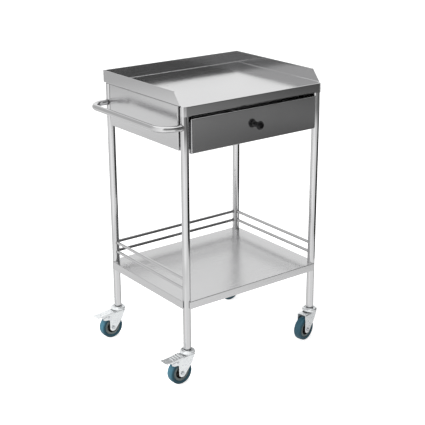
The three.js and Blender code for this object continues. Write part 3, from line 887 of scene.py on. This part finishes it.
def axle_parts(place):
    frame_of = castor_frame(place)
    x, z, radius = AXLE["x"], AXLE["z"], AXLE["radius"]
    outside = FORK["half_width"] + 0.3
    mesh = bmesh.new()
    shank = frame_of @ axis_frame((x, -outside - 0.2, z), (0, 1, 0))
    end = 2 * outside + 7.4
    thread_depth, half_pitch, thread_length = 0.35, 0.5, 12
    thread_start = end - thread_length
    thread = [(radius - thread_depth * (k % 2), thread_start + half_pitch * k) for k in range(22)]
    lathe(mesh, [(0, 0), (radius, 0)] + thread + [(radius - 0.8, end), (0, end)], shank, 40)
    hexagon_head(mesh, frame_of @ axis_frame((x, -outside, z), (0, -1, 0)), 4)
    add_piece(mesh, f"axle_bolt_{place}", FASTENER, sharp=25)
    mesh = bmesh.new()
    nut = frame_of @ axis_frame((x, outside, z), (0, 1, 0))
    hexagon_head(mesh, nut, 4.7)
    collar = rounded([(0, 4.2), (4.9, 4.2), (4.9, 6, 0.8), (3.3, 6, 0.3), (3.3, 5), (0, 5)])
    lathe(mesh, collar, nut, 40)
    add_piece(mesh, f"axle_nut_{place}", FASTENER, sharp=25)


def wheel(place):
    frame_of = castor_frame(place)
    hub_frame = frame_of @ axis_frame((AXLE["x"], 0, AXLE["z"]), (0, 1, 0))
    radius, half = AXLE["z"], 13.5
    side = [(28.5, half - 1.6), (29.8, half - 0.3, 0.8), (36.8, half, 2)]
    side += [(39.5, half - 2.4, 2.5), (radius, 5.5, 8)]
    parting_line = (radius + 0.12, 0)
    outer = rounded(side + [(radius, 0.4)], step=10) + [parting_line]
    mirrored = [(r, -y) for r, y in outer[-2::-1]]
    turned_piece(f"tyre_{place}", outer + mirrored + [outer[0]], hub_frame, RUBBER, 96)

    mesh = bmesh.new()
    bore, hub, web, rim = 3.3, 9.5, 20.5, 28.2
    side = [(bore, 0), (bore, 15, 0.3), (hub, 15, 0.8), (hub, 5, 1.5), (web - 1, 4, 1.5)]
    side += [(web, 11.2, 1.0), (web + 2.7, 11.7, 1.5), (rim - 1.6, 11.0, 1.0)]
    outer = rounded(side + [(rim, 11.4, 0.4), (rim, 0)], step=20)
    mirrored = [(r, -y) for r, y in outer[-2::-1]]
    lathe(mesh, outer + mirrored, hub_frame, 96)
    axis = hub_frame.translation
    direction = hub_frame.to_3x3() @ Vector((0, 0, 1))
    # Faces inside the web take the dark hub material: the hub's own dark plastic and painted shade of the
    # recess.
    for f in mesh.faces:
        offset = f.calc_center_median() - axis
        distance = (offset - direction * offset.dot(direction)).length
        f.material_index = 1 if distance < web - 0.3 else 0
    spokes(mesh, hub_frame, hub, web)
    add_piece(mesh, f"wheel_rim_{place}", RIM_GREY, HUB_DARK_AND_SHADE)


def spokes(mesh, hub_frame, hub, web):
    """Short ribs between hub and rim on both sides of the web."""
    length, width, depth = web - hub + 0.3, 1.8, 9
    for angle in full_turn(6):
        turn = hub_frame @ Matrix.Rotation(angle, 4, "Z")
        for foot in (-depth, 0):
            start = turn @ Matrix.Translation((hub - 0.5, -width / 2, foot))
            before = len(mesh.faces)
            prism(mesh, [(0, 0), (length, 0), (length, width), (0, width)], start, depth)
            # The ribs take the dark hub material too, with its painted recess shade.
            mesh.faces.ensure_lookup_table()
            for f in mesh.faces[before:]:
                f.material_index = 1


def swivel(place):
    frame_of = castor_frame(place)
    lo, hi = corners(f"swivel_head_{place}")
    radius = hi.x - middle(f"swivel_head_{place}").x
    base = 99.2  # underside of the domed cap
    stem = [(0, lo.z), (8.5, lo.z, 1), (9, lo.z + 3), (4.8, lo.z + 3), (4.8, base)]
    cap = [(radius - 0.8, base, 0.4), (radius, base + 1, 0.6), (radius, base + 5.4, 2.2)]
    cap += [(20.6, base + 8.4, 2.0), (18.4, base + 8.4, 0.8), (17.4, base + 6.6, 0.6)]
    cap += [(14.6, base + 6.6, 0.6), (13.4, base + 9.1, 0.6), (5, base + 9.1)]
    profile = rounded(stem + cap + [(5, hi.z, 0.8), (0, hi.z)])
    turned_piece(f"swivel_head_{place}", profile, frame_of, ZINC)

    lo, hi = corners(f"stem_plug_{place}")
    flange, shank, bore = 12.2, 10.7, 5.3
    shoulder = corners(f"leg_{place}")[0].z - 0.3
    spots = [(bore, lo.z), (flange, lo.z, 0.5), (flange, shoulder, 0.5)]
    spots += [(shank, shoulder), (shank, hi.z, 0.8), (bore, hi.z)]
    turned_piece(f"stem_plug_{place}", rounded(spots) + [(bore, lo.z)], frame_of, BLACK, 48)


def pedal_height(x):
    """Top of the pedal's plate along the trail: a slope down to a level toe."""
    heel, kink, heel_height, toe_height = PEDAL["heel"], -75.0, 96.5, 90.5
    half_bend = 3
    if x <= kink - half_bend:
        return toe_height
    grade = (heel_height - toe_height) / (heel - kink)
    if x >= kink + half_bend:
        return toe_height + grade * (x - kink)
    t = (x - kink + half_bend) / (2 * half_bend)
    return toe_height + grade * half_bend * t * t


def pedal_section(x):
    """(across, height) points over the pedal's plate and turned-down edges at one place."""
    toe_corner, edge, half_rib, rib_height = 5.0, 2.2, 2.2, 1.5
    rib_end, rib_foot = 10.9, 12.3
    skirt_depth, skirt_end, skirt_run = 4.2, -80, 8
    from_toe = min(x - PEDAL["toe"], toe_corner)
    inset = toe_corner - math.sqrt(max(0.0, toe_corner**2 - (toe_corner - from_toe) ** 2))
    width = PEDAL["half_width"] - inset
    skirt = skirt_depth * min(1, max(0, (x - skirt_end) / skirt_run))
    rib = 0.0
    for centre in (-34, -43.5, -53, -62.5):
        distance = abs(x - centre)
        if distance < half_rib:
            rib = rib_height * math.cos(distance / half_rib * math.pi / 2) ** 2
    z = pedal_height(x)
    plate = [(-width + edge, z), (-rib_foot, z), (-rib_end, z + rib), (0, z + rib), (rib_end, z + rib)]
    plate += [(rib_foot, z), (width - edge, z)]
    roll = arc((width - edge, z - edge), edge, 90, 0, 4)[1:]
    right = roll + [(width, z - edge - max(0.01, skirt))]
    left = [(-y, h) for y, h in right[::-1]]
    return left + plate + right


def pedal(place):
    """A tread plate with turned-down edges, cross ribs, a hole, two ears and a brake shoe."""
    frame_of = castor_frame(place)
    heel, toe = PEDAL["heel"], PEDAL["toe"]
    mesh = bmesh.new()
    stations = []
    count = 138
    for i in range(count + 1):
        x = heel + (toe - heel) * i / count
        stations.append(row(mesh, [(x, y, h) for y, h in pedal_section(x)], frame_of))
    for one, other in zip(stations, stations[1:]):
        bridge(mesh, one, other, closed=False)
    orient(mesh, (0, 0, 1))
    thick = thickened(mesh, PEDAL["sheet"])
    drill = bmesh.new()
    hole, hole_at, below, above = 3, -69.5, 70, 100
    drill_frame = frame_of @ Matrix.Translation((hole_at, 0, 0))
    lathe(drill, [(0, below), (hole, below), (hole, above), (0, above)], drill_frame, 32)
    thick = subtract(thick, drill)

    ear_sheet = 1.2
    ear = [(-38.4, 94.2), (-60.8, 91.4), (-55.5, 78.4, 3.5), (-46.9, 76.3, 4), (-42.7, 81, 4)]
    for inner_side in (14.0, -14.0 - ear_sheet):
        plane = frame_of @ local_plane((0, inner_side, 0), (1, 0, 0), (0, 0, 1))
        prism(thick, rounded(ear, closed=True), plane @ Matrix.Scale(-1, 4, (0, 0, 1)), ear_sheet)
    half_shoe = 9.5
    shoe = [(-61.5, 91.2), (-63.3, 91.2), (-63.3, 74, 1.5)]
    shoe += [(-59.6, 72.8), (-59.6, 74.6), (-61.5, 75.2, 0.8)]
    plane = frame_of @ local_plane((0, half_shoe, 0), (1, 0, 0), (0, 0, 1))
    prism(thick, rounded(shoe, closed=True), plane, 2 * half_shoe)
    add_piece(thick, f"brake_pedal_{place}", ZINC, eased=0.25)

    x, z = PEDAL["pivot"]
    reach = FORK["half_width"] + 0.3
    cap = rounded(
        [(0, -reach - 1.6), (2.4, -reach - 1.5, 0.6), (3.6, -reach - 0.9, 0.6), (3.6, -reach), (2, -reach)]
    )
    profile = cap + [(r, -y) for r, y in cap[::-1]]
    pin_frame = frame_of @ axis_frame((x, 0, z), (0, 1, 0))
    turned_piece(f"pedal_pin_{place}", profile, pin_frame, FASTENER, 32)


def castors():
    for place in PLACES:
        braked = f"brake_{place}" in JOINTS
        fork(place, braked)
        axle_parts(place)
        wheel(place)
        swivel(place)
        if braked:
            pedal(place)


# ---- Studio ----


# What the metal mirrors round the cart: (azimuth in degrees from -Y towards +X, brightness).
FOOT_WALL = (
    (-180, 0.85), (-100, 0.9), (-60, 1.0), (-30, 0.95), (50, 0.85), (58, 0.01), (106, 0.01),
    (113, 0.95), (180, 0.85),
)
BRIGHT_SIDE = (
    (-180, 0.7), (-152, 0.85), (-143, 0.77), (-110, 0.9), (-79, 1.2), (-49, 1.24), (-21, 0.99),
    (8, 1.05), (20, 0.5),
)
FAR_SIDE = ((106, 0.01), (113, 1.0), (165, 0.9), (180, 0.7))
KNEE_WALL = BRIGHT_SIDE + ((30, 0.05), (50, 0.01)) + FAR_SIDE
LOW_WALL = BRIGHT_SIDE + ((36, 0.17), (43, 0.08), (56, 0.01)) + FAR_SIDE
MIDDLE_WALL = (
    (-180, 0.75), (-143, 0.95), (-100, 1.0), (-60, 1.2), (-30, 1.0), (8, 0.9), (22, 0.5), (36, 0.27),
    (43, 0.19), (60, 0.05), (104, 0.05), (112, 1.0), (180, 0.75),
)
HIGH_WALL = (
    (-180, 0.6), (-150, 0.6), (-134, 0.66), (-110, 0.9), (-60, 1.2), (-48, 0.35), (0, 0.25),
    (20, 0.15), (40, 0.09), (56, 0.1), (70, 0.75), (104, 0.8), (112, 1.0), (165, 1.0), (180, 0.62),
)
MIRRORED_FLOOR = (
    (-180, 0.86), (-105, 0.88), (-94, 1.1), (-56, 1.1), (-48, 1.0), (30, 0.97), (64, 0.94),
    (72, 0.3), (88, 0.3), (98, 0.95), (130, 0.9), (141, 0.1), (172, 0.1), (180, 0.86),
)
# Each wall above the foot, and the heights in metres over which it takes over from the one below.
WALLS = (
    (KNEE_WALL, 0.08, 0.14),
    (LOW_WALL, 0.42, 0.47),
    (MIDDLE_WALL, 0.59, 0.62),
    (HIGH_WALL, 0.68, 0.78),
)


class Glow(Nodes):
    """A material of emissions whose brightness follows the azimuth of the ray that meets it."""

    def __init__(self, name):
        super().__init__(bpy.data.materials.new(name))
        self.tree.nodes.clear()
        incoming = self.add("NewGeometry", {}).outputs["Incoming"]
        back = self.add("SeparateXYZ", {0: incoming}).outputs
        azimuth = self.maths("ARCTAN2", self.maths("MULTIPLY", back["X"], -1), back["Y"])
        self.share = self.maths("ADD", self.maths("DIVIDE", azimuth, 2 * math.pi), 0.5)

    def emission(self, stops):
        ramp = self.add("ValToRGB", {"Fac": self.share})
        elements = ramp.color_ramp.elements
        while len(elements) < len(stops):
            elements.new(0.5)
        for element, (azimuth, brightness) in zip(elements, stops):
            element.position = azimuth / 360 + 0.5
            element.color = (brightness, brightness, brightness, 1)
        return self.add("Emission", {"Color": ramp.outputs["Color"]}).outputs[0]

    def mix(self, factor, low, high):
        return self.add("MixShader", {0: factor, 1: low, 2: high}).outputs[0]

    def show(self, shader):
        self.add("OutputMaterial", {"Surface": shader})


def stage_object(name, mesh, glow):
    """A studio piece whose origin is on the floor under the middle of the wheelbase."""
    made = mesh_object(name, mesh)
    made.data.materials.append(glow.owner)
    made.location = (WHEELBASE_CENTRE.x * MM, WHEELBASE_CENTRE.y * MM, 0)
    return made


def studio_floor():
    """A pale floor that the camera sees white, and that the metal sees as MIRRORED_FLOOR."""
    half_width, corner, height = 14, 3, -0.0004
    outline = rounded_rectangle(half_width, half_width, corner)
    mesh = bmesh.new()
    face(mesh, row(mesh, [(x, y, height) for x, y in outline]))
    glow = Glow("studio_floor")
    rays = glow.add("LightPath", {}).outputs
    diffuse = glow.add("BsdfDiffuse", {"Color": (0.9, 0.9, 0.9, 1)}).outputs[0]
    lift = glow.maths("MULTIPLY", rays["Is Camera Ray"], 0.75)
    lifted = glow.add("Emission", {"Strength": lift}).outputs[0]
    seen = glow.add("AddShader", {0: diffuse, 1: lifted}).outputs[0]
    bounced = glow.add("Emission", {"Strength": 0.12}).outputs[0]
    unlit = glow.mix(rays["Is Diffuse Ray"], seen, bounced)
    glow.show(glow.mix(rays["Is Glossy Ray"], unlit, glow.emission(MIRRORED_FLOOR)))
    stage_object("studio_floor", mesh, glow)


def studio_surround():
    """A ring of cards that only the metal's reflections see."""
    radius, height = 0.9, 1.8
    mesh = bmesh.new()
    ring = [(radius * math.cos(t), radius * math.sin(t)) for t in full_turn(96)]
    bridge(mesh, row(mesh, [(x, y, 0) for x, y in ring]), row(mesh, [(x, y, height) for x, y in ring]))
    glow = Glow("studio_surround")
    place = glow.add("TexCoord", {}).outputs["Object"]
    up = glow.add("SeparateXYZ", {0: place}).outputs["Z"]
    seen = glow.emission(FOOT_WALL)
    for wall, blend_from, blend_to in WALLS:
        seen = glow.mix(glow.ranged(up, blend_from, blend_to), seen, glow.emission(wall))
    glow.show(seen)
    surround = stage_object("studio_surround", mesh, glow)
    for ray in ("camera", "diffuse", "transmission", "volume_scatter", "shadow"):
        setattr(surround, f"visible_{ray}", False)


def studio_light():
    """A white world that lights matt surfaces softly, and a softbox on the upper left."""
    world = Nodes(bpy.data.worlds.new("studio"))
    bpy.context.scene.world = world.owner
    white = (1, 1, 1, 1)
    backdrop = world.tree.nodes["Background"]
    backdrop.inputs["Color"].default_value = white
    rays = world.add("LightPath", {}).outputs
    bright_side = Vector((-0.85, 0.3, 0.4)).normalized()
    looking = world.add("TexCoord", {}).outputs["Generated"]
    towards = world.add("VectorMath", {0: looking, 1: bright_side}, operation="DOT_PRODUCT")
    fading = world.ranged(towards.outputs["Value"], -0.1, 1, 0.06, 1.25)
    shown = backdrop.outputs[0]
    for ray, strength in (("Is Diffuse Ray", fading), ("Is Glossy Ray", 1.3)):
        tinted = world.add("Background", {"Color": white, "Strength": strength}).outputs[0]
        shown = world.add("MixShader", {0: rays[ray], 1: shown, 2: tinted}).outputs[0]
    world.tree.links.new(shown, world.tree.nodes["World Output"].inputs["Surface"])

    lamp = bpy.data.lights.new("softbox", "AREA")
    lamp.shape = "RECTANGLE"
    lamp.size = 1.6
    lamp.size_y = 1.2
    lamp.energy = 60
    softbox = add_object("softbox", lamp)
    softbox.location = (-2.4, 0.5, 1.7)
    aim = Vector((0, 0, 0.4)) - softbox.location
    softbox.rotation_euler = aim.to_track_quat("-Z", "Y").to_euler()
    softbox.visible_glossy = False


def camera():
    """Looks down at the cart from its front left corner."""
    yaw, pitch, roll = (math.radians(a) for a in (36.896, -19.582, -0.212))
    ahead = Vector((math.sin(yaw), math.cos(yaw), 0))
    forward = ahead * math.cos(pitch) + Vector((0, 0, math.sin(pitch)))
    level = Vector((math.cos(yaw), -math.sin(yaw), 0))
    upright = level.cross(forward)
    right = math.cos(roll) * level + math.sin(roll) * upright
    up = math.cos(roll) * upright - math.sin(roll) * level
    data = bpy.data.cameras.new("camera")
    data.sensor_width = 36
    data.lens = 85.64
    data.clip_end = 100
    view = add_object("camera", data)
    from_wheelbase = Vector((-1922.24, -2556.55, 1590.99))
    stand = Vector((WHEELBASE_CENTRE.x, WHEELBASE_CENTRE.y, 0))
    turn = Matrix((right, up, -forward)).transposed()
    view.matrix_world = Matrix.Translation((stand + from_wheelbase) * MM) @ turn.to_4x4()
    bpy.context.scene.camera = view


# ---- The cart ----

for corner in PLACES:
    leg(corner)
guard_rails()
push_handle()
top_tray()
lower_shelf()
housing()
slide_brackets()
slides()
drawer()
castors()

studio_floor()
studio_surround()
studio_light()
camera()
bpy.context.scene.view_settings.view_transform = "Standard"
